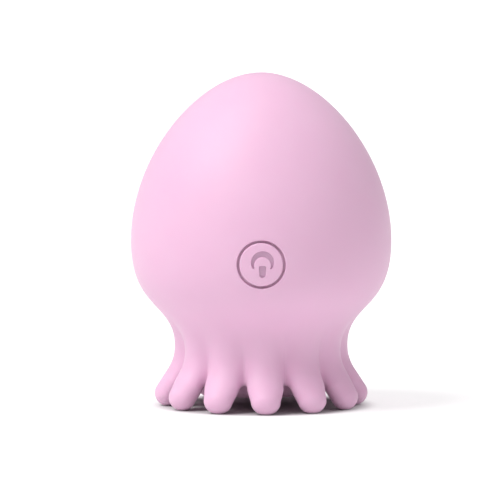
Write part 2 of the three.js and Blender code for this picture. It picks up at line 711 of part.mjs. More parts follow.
const bracketBlock = join(
  solidOf(box([-9.2, 9.2], [MOTOR_Y - 8.4, MOTOR_Y + 8.4], BRACKET_Z)),
  solidOf(box([-14.2, 14.2], BRACKET_EAR_Y, BRACKET_Z)),
);
pieceOf(
  "motor_bracket",
  cut(
    bracketBlock,
    solidOf(onMotorAxis(rodAlongZ(SLEEVE_RADIUS + 0.2, [0, FAR]))),
    ...[-BRACKET_SCREW_X, BRACKET_SCREW_X].map((x) =>
      solidOf(rodAlongY(BRACKET_SCREW.shank + HOLE_PLAY, [0, 20], x, BRACKET_MIDDLE_Z, SMALL_ROUND)),
    ),
  ),
  caseAbs,
);

// ---------- Charging contacts ----------

[-1, 1].forEach((side) => {
  const name = side < 0 ? "left" : "right";
  const x = side * CONTACT_X;
  const contact = join(
    solidOf(rodAlongY(CONTACT_RADIUS, [CONTACT_SHOULDER_Y, CONTACT_FACE_Y], x, CONTACT_Z)),
    solidOf(
      rodAlongY(CONTACT_TAIL_RADIUS, [CONTACT_END_Y, CONTACT_SHOULDER_Y + 0.5], x, CONTACT_Z, SMALL_ROUND),
    ),
  );
  pieceOf(`charge_contact_${name}`, contact, gold);
  const magnet = cut(
    solidOf(rodAlongY(CONTACT_MAGNET.radius, CONTACT_MAGNET.y, x, CONTACT_Z)),
    solidOf(rodAlongY(CONTACT_TAIL_RADIUS + 0.25, [20, 26], x, CONTACT_Z, SMALL_ROUND)),
  );
  pieceOf(`charge_magnet_${name}`, magnet, switchMetal);
});

pieceOf(
  "contact_holder",
  cut(
    solidOf(box([-8.3, 8.3], [21.5, 24.2], [CONTACT_Z - 3.8, CONTACT_Z + 3.8])),
    ...contactHoles(CONTACT_MAGNET.radius + GAP, [CONTACT_MAGNET.y[0] - 0.1, FAR]),
    ...contactHoles(CONTACT_TAIL_RADIUS + 0.25, [0, FAR]),
  ),
  caseAbs,
);

// ---------- Leads ----------

const LEAD_RADIUS = 0.5;

function lead(name, points, material) {
  const route = new THREE.CatmullRomCurve3(points.map((p) => new THREE.Vector3(...p)));
  const section = new THREE.Shape();
  section.absarc(0, 0, LEAD_RADIUS, 0, 2 * Math.PI);
  const geometry = new THREE.ExtrudeGeometry(section, {
    steps: 10,
    extrudePath: route,
    curveSegments: 3,
    bevelEnabled: false,
  });
  piece(name, geometry, material);
}

const mirrored = (points, side) => points.map(([x, y, z]) => [side * x, y, z]);
const batteryRoute = [
  [2, 4.1, 66.8],
  [2, 0, 67.3],
  [2, -6, 65.5],
  [1.8, -11, 60.5],
  [1.4, -14.6, 54.5],
  [1, -15.4, 50],
  [1, -15.5, 47.9],
];
const motorRoute = [
  [2.5, -4.9, 37.4],
  [2.3, -8.5, 37.2],
  [1.7, -12.2, 35.2],
  [1, -14.4, 32.6],
  [1, -15.5, 32],
];
const chargeRoute = [
  [5, 20.8, 39],
  [8.4, 18.6, 38.6],
  [13, 13, 38],
  [15, 4, 37.8],
  [14, -6, 38.2],
  [11.4, -13, 39],
  [9.3, -17.2, 39.4],
  [9.2, -18.5, 39.4],
];
lead("battery_lead_red", mirrored(batteryRoute, 1), redSheath);
lead("battery_lead_black", mirrored(batteryRoute, -1), blackSheath);
lead("motor_lead_red", mirrored(motorRoute, 1), redSheath);
lead("motor_lead_black", mirrored(motorRoute, -1), blackSheath);
lead("charge_lead_red", mirrored(chargeRoute, 1), redSheath);
lead("charge_lead_black", mirrored(chargeRoute, -1), blackSheath);

export default massager;
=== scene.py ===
# A palm-size massager shaped like an octopus: a soft pink silicone egg on twelve short tentacles, with a
# round push button in front and two charging contacts behind. Shapes are worked out in millimetres,
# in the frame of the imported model, and become metres when a mesh is made.
import json
import math

import bmesh
import bpy
import numpy as np
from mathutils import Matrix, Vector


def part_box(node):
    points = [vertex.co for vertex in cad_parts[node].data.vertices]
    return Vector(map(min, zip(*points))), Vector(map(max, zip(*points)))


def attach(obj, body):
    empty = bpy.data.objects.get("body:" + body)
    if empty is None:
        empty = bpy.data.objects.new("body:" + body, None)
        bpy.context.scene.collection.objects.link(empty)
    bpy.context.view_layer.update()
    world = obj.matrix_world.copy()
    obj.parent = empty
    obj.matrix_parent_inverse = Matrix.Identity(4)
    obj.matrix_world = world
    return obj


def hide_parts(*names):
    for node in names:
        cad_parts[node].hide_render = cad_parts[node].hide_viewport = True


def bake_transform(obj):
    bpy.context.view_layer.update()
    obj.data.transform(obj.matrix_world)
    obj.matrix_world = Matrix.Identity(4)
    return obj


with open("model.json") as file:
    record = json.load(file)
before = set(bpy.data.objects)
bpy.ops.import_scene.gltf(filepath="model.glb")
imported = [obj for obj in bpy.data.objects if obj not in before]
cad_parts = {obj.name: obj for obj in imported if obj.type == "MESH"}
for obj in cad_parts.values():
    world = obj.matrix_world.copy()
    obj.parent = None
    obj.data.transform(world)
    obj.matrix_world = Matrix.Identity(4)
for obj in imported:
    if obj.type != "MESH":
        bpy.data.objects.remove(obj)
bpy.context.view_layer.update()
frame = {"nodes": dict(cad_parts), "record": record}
mm = 0.001
mergeWithin, sliver = 0.0005, 0.0001  # mm, far below any detail of the shape
print("frame loaded")


def boxOf(node):
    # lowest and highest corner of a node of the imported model, in millimetres
    return [np.array(corner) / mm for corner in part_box(node)]


def smoothMin(a, b, blend):
    # the smaller of two distances, with the corner between them rounded over the width of blend
    overlap = np.maximum(blend - np.abs(a - b), 0)
    return np.minimum(a, b) - overlap**2 / (4 * blend)


def smoothMax(a, b, blend):
    return -smoothMin(-a, -b, blend)


def smoothStep(value):
    # 0 below 0, 1 above 1, and an S-shaped rise between them
    t = np.clip(value, 0, 1)
    return t * t * (3 - 2 * t)


def bezier(points, t):
    # cubic curve through its first and last point, pulled towards the two between
    p = np.array(points, float)
    t = np.asarray(t)[..., None]
    return (1 - t) ** 3 * p[0] + 3 * (1 - t) ** 2 * t * p[1] + 3 * (1 - t) * t**2 * p[2] + t**3 * p[3]


def quarterTurn(steps):
    # angles from 0 to a right angle in equal steps, without the 0
    return np.linspace(0, math.pi / 2, steps + 1)[1:]


def turnOut(radius, azimuth, z):
    # cylinder coordinates to x, y, z: azimuth 0 faces -Y and grows towards +X
    radius, azimuth, z = np.broadcast_arrays(radius, azimuth, z)
    return np.stack([radius * np.sin(azimuth), -radius * np.cos(azimuth), z], axis=-1)


def facesOf(points):
    # a grid of points, rows by columns, as a flat list of points and its four-sided faces
    rows, columns = points.shape[:2]
    number = np.arange(rows * columns).reshape(rows, columns)
    corners = [number[:-1, :-1], number[:-1, 1:], number[1:, 1:], number[1:, :-1]]
    return points.reshape(-1, 3), np.stack(corners, axis=-1).reshape(-1, 4)


def makePiece(name, grids, material):
    # patches that share their edges become one closed mesh: points that no face uses are left out, equal
    # points are merged, which also closes the poles, and the faces are turned outwards
    points, faces, count = [], [], 0
    for grid in grids:
        gridPoints, gridFaces = grid if isinstance(grid, tuple) else facesOf(grid)
        points.append(gridPoints)
        faces.append(gridFaces + count)
        count += len(gridPoints)
    faces = np.concatenate(faces)
    used, renumbered = np.unique(faces, return_inverse=True)
    corners = (np.concatenate(points)[used] * mm).tolist()
    mesh = bpy.data.meshes.new(name)
    mesh.from_pydata(corners, [], renumbered.reshape(faces.shape).tolist())
    shape = bmesh.new()
    shape.from_mesh(mesh)
    bmesh.ops.remove_doubles(shape, verts=shape.verts, dist=mergeWithin * mm)
    bmesh.ops.dissolve_degenerate(shape, edges=shape.edges, dist=sliver * mm)
    bmesh.ops.recalc_face_normals(shape, faces=shape.faces)
    shape.to_mesh(mesh)
    shape.free()
    mesh.shade_smooth()
    piece = bpy.data.objects.new(name, mesh)
    bpy.context.scene.collection.objects.link(piece)
    mesh.materials.append(material)
    return piece


def meshPoints(mesh):
    points = np.empty(len(mesh.vertices) * 3)
    mesh.vertices.foreach_get("co", points)
    return points.reshape(-1, 3) / mm


def linear(hexColour):
    # sRGB hex to the linear colour that shaders take
    channels = [int(hexColour[i : i + 2], 16) / 255 for i in (0, 2, 4)]
    curve = [c / 12.92 if c <= 0.04045 else ((c + 0.055) / 1.055) ** 2.4 for c in channels]
    return (*curve, 1.0)


def addNode(tree, kind, settings=None, links=None):
    # a node with its settings, and links from other nodes' outputs into its inputs
    node = tree.nodes.new(kind)
    for key, value in (settings or {}).items():
        if hasattr(node, key):
            setattr(node, key, value)
        else:
            node.inputs[key].default_value = value
    for key, output in (links or {}).items():
        tree.links.new(output, node.inputs[key])
    return node


def newMaterial(name):
    material = bpy.data.materials.new(name)
    material.use_nodes = True
    return material, material.node_tree, material.node_tree.nodes["Principled BSDF"]


silicone = {
    "light": "e3b9d4",
    "deep": "e0b3d0",
    "paintedIconShade": "cba3be",  # painted shade: a darker colour on the sign's recessed floor, standing in for the shade that falls in the recess
    "roughness": 0.52,
    "glossDrop": 0.04,  # how much smoother than that the grain's low places are
    "glossRise": 0.06,  # and how much rougher its high places
    "grain": 0.28,  # mm across a grain of the mould's satin texture, drawn coarser than it is
    "grainHeight": 0.006,
    "grainStrength": 0.35,
    "drift": 14.0,  # mm across a soft change of tone
    "bleed": 0.9,  # mm that light travels under the surface
    "bleedShare": 0.25,
    "bleedColour": (1.0, 0.6, 0.8),  # red light travels furthest
    "ior": 1.41,
    "sheen": 0.12,
    "sheenRoughness": 0.4,
}


def mouldedSilicone(name, paintedIconShade=False):
    # platinum-cured silicone from a fine-blasted steel mould: matt, with a broad soft sheen, a tone that
    # drifts a little, as thick pigmented rubber does, and light that bleeds into narrow grooves
    material, tree, shader = newMaterial(name)
    place = addNode(tree, "ShaderNodeTexCoord").outputs["Object"]
    drift = addNode(tree, "ShaderNodeTexNoise", {"Scale": 1 / (silicone["drift"] * mm), "Detail": 2.0},
                    {"Vector": place})
    tone = addNode(tree, "ShaderNodeMix", {"data_type": "RGBA"}, {0: drift.outputs["Fac"]})
    tone.inputs[6].default_value = linear(silicone["light"])
    tone.inputs[7].default_value = linear(silicone["deep"])
    # painted shade: where this attribute is set, the colour is darkened to stand in for the shade in the
    # sign's recess
    if paintedIconShade:
        mask = addNode(tree, "ShaderNodeAttribute", {"attribute_name": "paintedIconShade"}).outputs["Fac"]
        tone = addNode(tree, "ShaderNodeMix", {"data_type": "RGBA"}, {0: mask, 6: tone.outputs[2]})
        tone.inputs[7].default_value = linear(silicone["paintedIconShade"])
    tree.links.new(tone.outputs[2], shader.inputs["Base Color"])
    grain = addNode(tree, "ShaderNodeTexNoise", {"Scale": 1 / (silicone["grain"] * mm), "Detail": 3.0},
                    {"Vector": place})
    satin = addNode(tree, "ShaderNodeMapRange",
                    {"To Min": silicone["roughness"] - silicone["glossDrop"],
                     "To Max": silicone["roughness"] + silicone["glossRise"]},
                    {"Value": grain.outputs["Fac"]})
    tree.links.new(satin.outputs["Result"], shader.inputs["Roughness"])
    bump = addNode(tree, "ShaderNodeBump",
                   {"Strength": silicone["grainStrength"], "Distance": silicone["grainHeight"] * mm},
                   {"Height": grain.outputs["Fac"]})
    tree.links.new(bump.outputs["Normal"], shader.inputs["Normal"])
    shader.inputs["IOR"].default_value = silicone["ior"]
    shader.inputs["Sheen Weight"].default_value = silicone["sheen"]
    shader.inputs["Sheen Roughness"].default_value = silicone["sheenRoughness"]
    shader.inputs["Subsurface Weight"].default_value = silicone["bleedShare"]
    shader.inputs["Subsurface Radius"].default_value = silicone["bleedColour"]
    shader.inputs["Subsurface Scale"].default_value = silicone["bleed"] * mm
    return material


skinMaterial = mouldedSilicone("mouldedSilicone")
# the button's silicone, with painted shade on the sign's recessed floor
buttonMaterial = mouldedSilicone("siliconeWithPaintedIconShade", paintedIconShade=True)

# What the hidden pieces are made of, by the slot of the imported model. grain is the size of the surface's
# pattern in mm, height its depth.
finishes = {
    "case_plastic": dict(name="mouldedAbs", hex="efecee", roughness=0.45, ior=1.54,
                         grain=0.4, height=0.01),
    "seal_silicone": dict(name="dieCutSilicone", hex="d6d6d9", roughness=0.6, ior=1.41,
                          grain=0.5, height=0.01),
    "board_laminate": dict(name="solderMask", hex="1c6a37", roughness=0.35, ior=1.5,
                           grain=0.3, height=0.006),
    "black_resin": dict(name="mouldedEpoxy", hex="1d1d1f", roughness=0.5, ior=1.55,
                        grain=0.15, height=0.006),
    "nickel_plate": dict(name="nickelPlatedSteel", hex="c6c7c8", roughness=0.28, metallic=1,
                         grain=0.2, height=0.003),
    "led_lens": dict(name="castEpoxyLens", hex="f6f2df", roughness=0.12, ior=1.52,
                     grain=0.6, height=0.002),
    "connector_nylon": dict(name="naturalNylon", hex="efe9d8", roughness=0.5, ior=1.53,
                            grain=0.3, height=0.008),
    "battery_foil": dict(name="laminatedFoil", hex="b6b9bd", roughness=0.33, metallic=1,
                         grain=1.8, height=0.05),
    "pad_foam": dict(name="closedCellFoam", hex="37393d", roughness=0.92, ior=1.45,
                     grain=0.35, height=0.08),
    "motor_steel": dict(name="drawnZincedSteel", hex="b3b5b7", roughness=0.3, metallic=1,
                        grain=0.25, height=0.004),
    "magnet_ferrite": dict(name="sinteredFerrite", hex="3b3b3e", roughness=0.7, ior=1.6,
                           grain=0.2, height=0.01),
    "bearing_brass": dict(name="sinteredBrass", hex="c39b4a", roughness=0.35, metallic=1,
                          grain=0.15, height=0.008),
    "weight_tungsten": dict(name="sinteredTungsten", hex="7c7e82", roughness=0.42, metallic=1,
                            grain=0.2, height=0.01),
    "armature_copper": dict(name="enamelledCopper", hex="b2663b", roughness=0.32, metallic=1,
                            grain=0.25, height=0.03),
    "contact_gold": dict(name="hardGoldPlate", hex="e3c06c", roughness=0.2, metallic=1,
                         grain=0.5, height=0.002),
    "screw_steel": dict(name="rolledScrewSteel", hex="9b9da0", roughness=0.32, metallic=1,
                        grain=0.2, height=0.004),
    "red_sheath": dict(name="redPvcSheath", hex="c12a2e", roughness=0.45, ior=1.53,
                       grain=0.5, height=0.006),
    "black_sheath": dict(name="blackPvcSheath", hex="222326", roughness=0.45, ior=1.53,
                         grain=0.5, height=0.006),
}


toneDrift = {"size": 9.0, "darkest": 0.9}  # mm across a soft change of tone, and how dark it goes
glossRange = (0.9, 1.1)  # of a finish's roughness
reliefStrength = 0.5


def finishMaterial(finish):
    # one noise makes the surface's fine relief and a small change of gloss; a coarser one drifts the tone
    material, tree, shader = newMaterial(finish["name"])
    place = addNode(tree, "ShaderNodeTexCoord").outputs["Object"]
    grain = addNode(tree, "ShaderNodeTexNoise", {"Scale": 1 / (finish["grain"] * mm), "Detail": 3.0},
                    {"Vector": place})
    drift = addNode(tree, "ShaderNodeTexNoise", {"Scale": 1 / (toneDrift["size"] * mm)}, {"Vector": place})
    ramp = addNode(tree, "ShaderNodeValToRGB", None, {"Fac": drift.outputs["Fac"]})
    base = linear(finish["hex"])
    for stop, share in zip(ramp.color_ramp.elements, (toneDrift["darkest"], 1.0)):
        stop.color = (*[channel * share for channel in base[:3]], 1.0)
    tree.links.new(ramp.outputs["Color"], shader.inputs["Base Color"])
    gloss = addNode(tree, "ShaderNodeMapRange",
                    {"To Min": finish["roughness"] * glossRange[0],
                     "To Max": finish["roughness"] * glossRange[1]},
                    {"Value": grain.outputs["Fac"]})
    tree.links.new(gloss.outputs["Result"], shader.inputs["Roughness"])
    bump = addNode(tree, "ShaderNodeBump", {"Strength": reliefStrength, "Distance": finish["height"] * mm},
                   {"Height": grain.outputs["Fac"]})
    tree.links.new(bump.outputs["Normal"], shader.inputs["Normal"])
    shader.inputs["Metallic"].default_value = finish.get("metallic", 0)
    if "ior" in finish:
        shader.inputs["IOR"].default_value = finish["ior"]
    return material


finishOf = {slot: finishMaterial(finish) for slot, finish in finishes.items()}
finishOf["skin_silicone"] = skinMaterial
for part in frame["record"]["subparts"]:
    node = frame["nodes"][part["node"]]
    node.data.materials.clear()
    node.data.materials.append(finishOf[part["material_slot"]])
print("materials made")


# The skin is worked out as a distance field: the egg, its ridges, the webs and the tentacles.

skinLow, skinHigh = boxOf("skin_mantle")
eggRadius = (skinHigh[0] - skinLow[0]) / 2

egg = {
    "top": skinHigh[2],
    "equator": 38.6,
    "crownPull": (14.4, 58.4),  # how wide the top is, and how far the sides stay full
    "waist": (18.6, 11.0),  # radius and height
    "bellyPull": (21.0, 24.4),  # how far down the sides stay full, and how high the waist stays slim
    "flare": 0.012,  # below the waist, mm of radius for each square mm of depth
}
crown = [(0, egg["top"]), (egg["crownPull"][0], egg["top"]), (eggRadius, egg["crownPull"][1]),
         (eggRadius, egg["equator"])]
belly = [(eggRadius, egg["equator"]), (eggRadius, egg["bellyPull"][0]),
         (egg["waist"][0], egg["bellyPull"][1]), egg["waist"]]

tentacle = {
    "count": 12,
    "phase": math.radians(2.8),
    "tip": (21.85, 2.93),  # centre of the round tip: radius and height
    "lean": math.radians(33),  # outwards from straight down
    "depth": 3.0,  # half its size in the radial plane
    "width": 3.45,  # half its size across, at the tip
    "widening": 0.25,  # what that grows by for each mm towards the root
    "wideningEnd": 3.0,  # mm from the tip's centre at which it stops growing
    "neighbourBlend": 0.8,  # rounding between two tentacles
    "tableBlend": 0.25,  # rounding of the flat on which a tip stands
    "webFillet": 1.0,
    "rootSettle": 0.6,  # share of the way from the root's ring to the first ellipse
    "rootSide": math.radians(122),  # how far round that ellipse the ring's outer half reaches
    "bendStart": 0.55,  # mm along from the root's ring to the first of two points on the tentacle's axis, worked out below and not used
    "bendEnd": 3.9,
}
ridge = {
    "top": 24.0,  # height at which a ridge begins to stand out
    "full": 8.5,  # and at which it has its full height
    "ease": 0.3,  # rounding where it reaches that
    "power": 1.35,  # over 1, so that it rises slowly at first
    "height": 2.4,
    "grooveDepth": 0.5,
    "soft": 0.07,  # roundness of the groove's bottom,
    "softer": 0.45,  # and what is added to it between the height softFrom and softSpan above that
    "softFrom": 9,
    "softSpan": 12,
}
webBottom = 6.2
rimFillet = 1.3  # of the web's lower edge
hollow = {"rise": 1.1, "from": 17.4, "to": 13.6}  # the underside rises a little inside the ring of tentacles
sector = 2 * math.pi / tentacle["count"]
search = {
    "steps": 14,
    "slopeStep": 0.02,  # mm to either side, for a slope
    "leastSlope": 0.05,
    "longestMove": 0.8,
}
down = (math.sin(tentacle["lean"]), -math.cos(tentacle["lean"]))  # along a tentacle, as (outwards, up)
out = (-down[1], down[0])  # square to it, outwards


def valleyRadius(z):
    # radius between two ridges: the belly's curve, found by Newton steps on its height, and below the
    # waist a slight flare
    t = np.full(np.shape(z), 0.5)
    high = np.maximum(z, egg["waist"][1] + 1e-9)
    heights = np.array(belly)[:, 1]
    slopes = 3 * np.diff(heights)
    for _ in range(search["steps"]):
        error = bezier(belly, t)[..., 1] - high
        slope = (1 - t) ** 2 * slopes[0] + 2 * (1 - t) * t * slopes[1] + t**2 * slopes[2]
        t = np.clip(t - error / slope, 0, 1)
    flare = egg["flare"] * np.maximum(egg["waist"][1] - z, 0) ** 2
    return bezier(belly, t)[..., 0] + flare


def ridgeAt(azimuth, z):
    # a ridge stands out as the cosine's arch: round on top, with a narrow rounded groove between two,
    # which is pressed in a little below the belly's curve
    rise = (ridge["top"] - z) / (ridge["top"] - ridge["full"])
    full = np.maximum(smoothMin(rise, 1.0, ridge["ease"]), 0) ** ridge["power"]
    soften = ridge["soft"] + ridge["softer"] * smoothStep((z - ridge["softFrom"]) / ridge["softSpan"])
    arch = np.sqrt(np.cos(azimuth * tentacle["count"] / 2) ** 2 + soften**2) - soften
    arch = arch / (np.sqrt(1 + soften**2) - soften)
    return full * ((ridge["height"] + ridge["grooveDepth"]) * arch - ridge["grooveDepth"])


def tentacleField(u, t, z):
    # distance to one tentacle, a capsule that grows wider towards its root
    along = (u - tentacle["tip"][0]) * down[0] + (z - tentacle["tip"][1]) * down[1]
    across = (u - tentacle["tip"][0]) * out[0] + (z - tentacle["tip"][1]) * out[1]
    width = tentacle["width"] + tentacle["widening"] * np.clip(-along, 0, tentacle["wideningEnd"])
    beyond = np.maximum(along, 0)
    depth = tentacle["depth"]
    return (np.sqrt((across / depth) ** 2 + (t / width) ** 2 + (beyond / depth) ** 2) - 1) * depth


def skinField(points):
    # roughly the distance outside the skin: the ridged egg, cut off below by the web's edge and the
    # hollow, joined softly to the tentacle in front and to its nearest neighbour
    u, t, z = points[..., 0], points[..., 1], points[..., 2]
    radius = np.hypot(u, t)
    azimuth = np.arctan2(t, u)
    step = search["slopeStep"]
    slope = (valleyRadius(z + step) - valleyRadius(z - step)) / (2 * step)
    side = (radius - valleyRadius(z) - ridgeAt(azimuth, z)) / np.sqrt(1 + slope**2)
    inward = (hollow["from"] - radius) / (hollow["from"] - hollow["to"])
    roof = webBottom + hollow["rise"] * smoothStep(inward)
    body = smoothMax(side, roof - z, rimFillet)
    other = sector - np.abs(azimuth)
    own = tentacleField(u, t, z)
    neighbour = tentacleField(radius * np.cos(other), radius * np.sin(other), z)
    fingers = smoothMin(own, neighbour, tentacle["neighbourBlend"])
    return smoothMax(smoothMin(body, fingers, tentacle["webFillet"]), -z, tentacle["tableBlend"])


def fieldSlope(points):
    # central differences of the field along the three axes
    step = search["slopeStep"]
    shifts = np.eye(3) * step
    slopes = [(skinField(points + shift) - skinField(points - shift)) / (2 * step) for shift in shifts]
    return np.stack(slopes, axis=-1)


def ontoSkin(points):
    # Newton steps along the field's slope, none of them too long
    for _ in range(search["steps"]):
        slope = fieldSlope(points)
        move = skinField(points) / np.maximum((slope**2).sum(axis=-1), search["leastSlope"])
        length = np.abs(move) * np.sqrt((slope**2).sum(axis=-1))
        move = move * np.minimum(1, search["longestMove"] / np.maximum(length, 1e-9))
        points = points - move[..., None] * slope
    return points


def turnedTo(points, azimuth):
    # a sector's own coordinates, outwards, sideways and up, to x, y, z
    u, t, z = points[..., 0], points[..., 1], points[..., 2]
    return np.stack([u * math.sin(azimuth) + t * math.cos(azimuth),
                     t * math.sin(azimuth) - u * math.cos(azimuth), z], axis=-1)


grid = {
    "columns": 30,  # in one tentacle's sector
    "crownRows": 52,
    "bellyRows": 58,
    "ridgeRows": 22,
    "undersideRows": 12,
    "rootRows": 16,
    "tipRows": 10,
    "ridgeStart": 14.0,  # height below which the ridges' grid takes over from the egg's
    "eggRows": 8,  # from a block's border to an opening
    "edgeRows": 6,  # round a small edge
    "footRows": 3,  # round the foot of an opening's wall
    "profileSamples": 2000,
    "crownSamples": 4000,
}

# The ring where a tentacle begins lies close to a plane across it, through the lowest points of the
# webs on its two sides. An outer and an inner half-ellipse start it off, and the field pulls it in.
saddleRadius = 17.9
saddleOut = saddleRadius * math.cos(sector / 2)
saddleSide = saddleRadius * math.sin(sector / 2)
tipOut, tipUp = tentacle["tip"]
rootAlong = (saddleOut - tipOut) * down[0] + (webBottom - tipUp) * down[1]
saddleAcross = (saddleOut - tipOut) * out[0] + (webBottom - tipUp) * out[1]


def acrossTentacle(along, side, across):
    # a point from its place along, beside and across the tentacle's axis
    along, side, across = np.broadcast_arrays(along, side, across)
    return np.stack([tipOut + along * down[0] + across * out[0], side,
                     tipUp + along * down[1] + across * out[1]], axis=-1)


def cylindrical(points):
    # radius, azimuth within the sector, height
    u, t, z = points[..., 0], points[..., 1], points[..., 2]
    return np.hypot(u, t), np.arctan2(t, u), z


def evenSides(points):
    # the first and last columns are put exactly on the planes between two tentacles, as mirror images,
    # so that the sectors meet point to point
    radius, _, z = cylindrical(points[..., [0, -1], :])
    radius, z = radius.mean(axis=-1, keepdims=True), z.mean(axis=-1, keepdims=True)
    sides = np.array([-sector / 2, sector / 2])
    pair = np.broadcast_arrays(radius * np.cos(sides), radius * np.sin(sides), z)
    points[..., [0, -1], :] = np.stack(pair, axis=-1)
    return points


swing = np.linspace(-math.pi / 2, math.pi / 2, grid["columns"] + 1)
ringSide = saddleSide * np.sin(swing)
outerAcross = saddleAcross + (tentacle["depth"] - saddleAcross) * np.cos(swing)
innerAcross = saddleAcross - (tentacle["depth"] + saddleAcross) * np.cos(swing)
outerRing = evenSides(ontoSkin(acrossTentacle(rootAlong, ringSide, outerAcross)))
innerRing = ontoSkin(acrossTentacle(rootAlong, ringSide, innerAcross))
innerRing[[0, -1]] = outerRing[[0, -1]]


def between(first, last, rows, bend=1.0):
    # rows of points from one curve to another, in cylinder coordinates, then pulled onto the skin. With
    # a bend over 1 the radius changes late.
    share = np.linspace(0, 1, rows + 1)[:, None]
    (fromRadius, fromAzimuth, fromZ), (toRadius, toAzimuth, toZ) = cylindrical(first), cylindrical(last)
    radius = fromRadius + (toRadius - fromRadius) * share**bend
    azimuth = fromAzimuth + (toAzimuth - fromAzimuth) * share
    z = fromZ + (toZ - fromZ) * share
    points = np.stack([radius * np.cos(azimuth), radius * np.sin(azimuth), z], axis=-1)
    points = evenSides(ontoSkin(points))
    points[0], points[-1] = first, last
    return points


sectorAzimuth = np.linspace(-sector / 2, sector / 2, grid["columns"] + 1)
startRadius = valleyRadius(np.array(grid["ridgeStart"])) + ridgeAt(sectorAzimuth, grid["ridgeStart"])
ridgeTopRow = np.stack([startRadius * np.cos(sectorAzimuth), startRadius * np.sin(sectorAzimuth),
                        np.full_like(sectorAzimuth, grid["ridgeStart"])], axis=-1)
ridgeGrid = between(ridgeTopRow, outerRing, grid["ridgeRows"], bend=4.0)

coverLow, coverHigh = boxOf("base_cover")
cover = {
    "radius": (coverHigh[0] - coverLow[0]) / 2,
    "bottom": coverLow[2],
    "top": coverHigh[2] - 0.1,
    "edge": 2.8,  # radius of its lower edge
    "topEdge": 0.2,
    "gap": 0.35,
    "lip": 0.4,  # fillet of the skin round the cover
    "wallMiddle": 8.4,  # height of a row halfway up the recess
    "clearance": 0.05,  # between its top and the recess
    "rays": 144,
}
lipRadius = cover["radius"] + cover["gap"] + cover["lip"]
lipHeight = webBottom + hollow["rise"]
lipRow = np.stack([lipRadius * np.cos(sectorAzimuth), lipRadius * np.sin(sectorAzimuth),
                   np.full_like(sectorAzimuth, lipHeight)], axis=-1)
undersideGrid = between(innerRing, lipRow, grid["undersideRows"])


fan = {"back": 0.8, "out": 0.4}  # mm from the ring's plane and from the tentacle's axis to its middle


def closingFan(ring):
    # a loop of points and the point in the middle that closes it, pulled a little way back into the body
    middle = acrossTentacle(rootAlong - fan["back"], 0.0, fan["out"])
    return np.stack([ring, np.broadcast_to(middle, ring.shape)])


ringLoop = np.concatenate([outerRing, innerRing[::-1]])
print("tentacle roots worked out")


def profileRows(curve, count):
    # points along a curve at equal steps of length
    t = np.linspace(0, 1, grid["profileSamples"])
    points = bezier(curve, t)
    length = np.concatenate([[0], np.cumsum(np.hypot(*np.diff(points, axis=0).T))])
    return bezier(curve, np.interp(np.linspace(0, length[-1], count + 1), length, t))


def eggSurface(x, z, facing):
    # the place on the egg that is seen at x, z from the front (facing -1) or the back (facing 1)
    crownT = np.linspace(0, 1, grid["crownSamples"])
    crownPoints = bezier(crown, crownT)
    crownRadius = bezier(crown, np.interp(-z, -crownPoints[:, 1], crownT))[..., 0]
    radius = np.where(z > egg["equator"], crownRadius, valleyRadius(np.minimum(z, egg["equator"])))
    return facing * np.sqrt(radius**2 - x**2)


crownRows = profileRows(crown, grid["crownRows"])
bellyRows = profileRows(belly, grid["profileSamples"])
bellyRows = bellyRows[bellyRows[:, 1] >= grid["ridgeStart"] - 1e-6]
bellyShares = np.linspace(0, 1, grid["bellyRows"] + 1)
bellyLength = np.concatenate([[0], np.cumsum(np.hypot(*np.diff(bellyRows, axis=0).T))])
rowHeights = np.interp(bellyShares * bellyLength[-1], bellyLength, bellyRows[:, 1])
rowHeights[0], rowHeights[-1] = egg["equator"], grid["ridgeStart"]
# the columns start between two tentacles, to one side of both openings
columns = grid["columns"] * tentacle["count"]
azimuths = tentacle["phase"] - 3.5 * sector + np.linspace(0, 2 * math.pi, columns + 1)
azimuths[-1] = azimuths[0] + 2 * math.pi
crownGrid = turnOut(crownRows[:, 0][:, None], azimuths[None], crownRows[:, 1][:, None])
folded = (azimuths - tentacle["phase"] + sector / 2) % sector - sector / 2
bellyRadius = valleyRadius(rowHeights)[:, None] + ridgeAt(folded[None], rowHeights[:, None])
bellyGrid = turnOut(bellyRadius, azimuths[None], rowHeights[:, None])
upperGrid = np.concatenate([crownGrid[:-1], bellyGrid])

button = {
    "height": (boxOf("button_cap")[0][2] + boxOf("button_cap")[1][2]) / 2,
    "hole": 5.65,
    "radius": 5.05,
    "edge": 0.25,  # radius of its front edge
    "lip": 0.28,  # fillet of the skin round the hole
    "floor": 1.12,  # depth of the recess that the button sits in; its floor follows the egg
    "back": 0.7,  # the button's own thickness, which leaves room behind it to be pressed
    "margin": 2.4,  # round the hole, of the egg's grid that makes way
    "rays": 300,
    "rings": 110,
}
contacts = boxOf("charge_contact_left"), boxOf("charge_contact_right")
pocket = {
    "height": (contacts[0][0][2] + contacts[0][1][2]) / 2,
    "halfLength": 8.0,
    "halfHeight": 3.6,
    "lip": 0.3,
    "floor": 28.9,  # place along Y
    "margin": 2.4,
}
wallFoot = 0.45  # rounding between an opening's wall and its floor, on a wall deep enough for it


def roundLoop(directions, halfLength, halfHeight):
    # a slot with round ends, met by rays from its middle; with equal halves it is a circle
    straight = halfLength - halfHeight
    x, z = np.cos(directions), np.sin(directions)
    side = halfHeight / np.maximum(np.abs(z), 1e-9)
    end = straight * np.abs(x) + np.sqrt(np.maximum(halfHeight**2 - (straight * z) ** 2, 0))
    reach = np.where(np.abs(x) * side <= straight, side, end)
    return reach * x, reach * z


